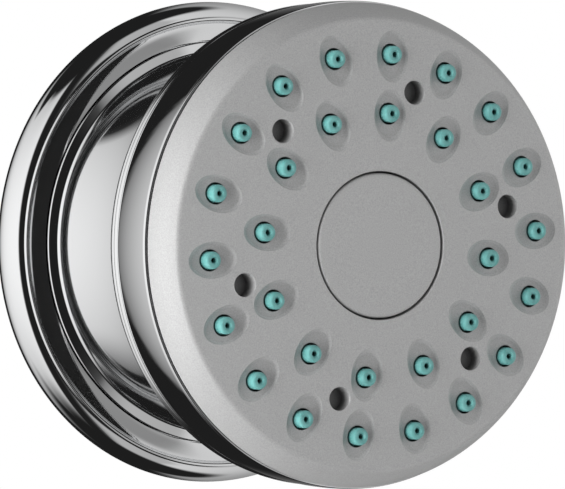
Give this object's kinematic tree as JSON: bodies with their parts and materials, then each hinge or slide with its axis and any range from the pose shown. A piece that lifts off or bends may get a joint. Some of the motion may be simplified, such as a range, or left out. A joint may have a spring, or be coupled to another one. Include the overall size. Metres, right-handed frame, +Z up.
{
  "type": "shower body jet",
  "caption": "Round chromed wall-mounted shower body jet with a grey domed spray face, teal silicone nozzles and a tilting head on a ball joint.",
  "frame": {"origin": "middle of the water inlet in the plane of the wall", "axes": "+Z up, +Y into the wall along the inlet, -Y the spray direction, +X right seen from the front"},
  "size_m": [0.0754, 0.0542, 0.0754],
  "materials": {
    "chrome": "polished chrome plate",
    "grey_plastic": "satin silver-grey plastic with a fine speckle",
    "teal_silicone": "soft satin silicone",
    "brass": "turned brass",
    "black_rubber": "moulded rubber",
    "white_plastic": "natural acetal",
    "steel": "plain stainless steel"
  },
  "bodies": {
    "fixed": {"wall_flange": "chrome", "flange_gasket": "black_rubber", "sleeve": "chrome", "sleeve_o_ring": "black_rubber", "ball_nipple": "brass", "inlet_washer": "black_rubber", "inlet_screen": "steel", "flow_regulator": "white_plastic", "clamp_washer": "white_plastic"},
    "wear_ring": {"wear_ring": "white_plastic"},
    "ball_seat": {"ball_seat": "white_plastic"},
    "head": {"head_shell": "chrome", "swivel_nut": "brass", "ball_seal": "black_rubber", "chamber_o_ring": "black_rubber", "diffuser_plate": "white_plastic", "nozzle_mat": "teal_silicone", "face_plate": "grey_plastic", "centre_cap": "grey_plastic", "centre_screw": "steel", "screw_seal": "black_rubber"}
  },
  "joints": [
    {"name": "aim_up_down", "type": "hinge", "parent": "fixed", "child": "wear_ring", "pos_m": [0, -0.027, 0], "axis": [-1, 0, 0], "range_deg": [-10, 10]},
    {"name": "aim_left_right", "type": "hinge", "parent": "wear_ring", "child": "ball_seat", "pos_m": [0, -0.027, 0], "axis": [0, 0, 1], "range_deg": [-10, 10]},
    {"name": "face_turn", "type": "hinge", "parent": "ball_seat", "child": "head", "pos_m": [0, -0.027, 0], "axis": [0, -1, 0], "continuous": true}
  ]
}
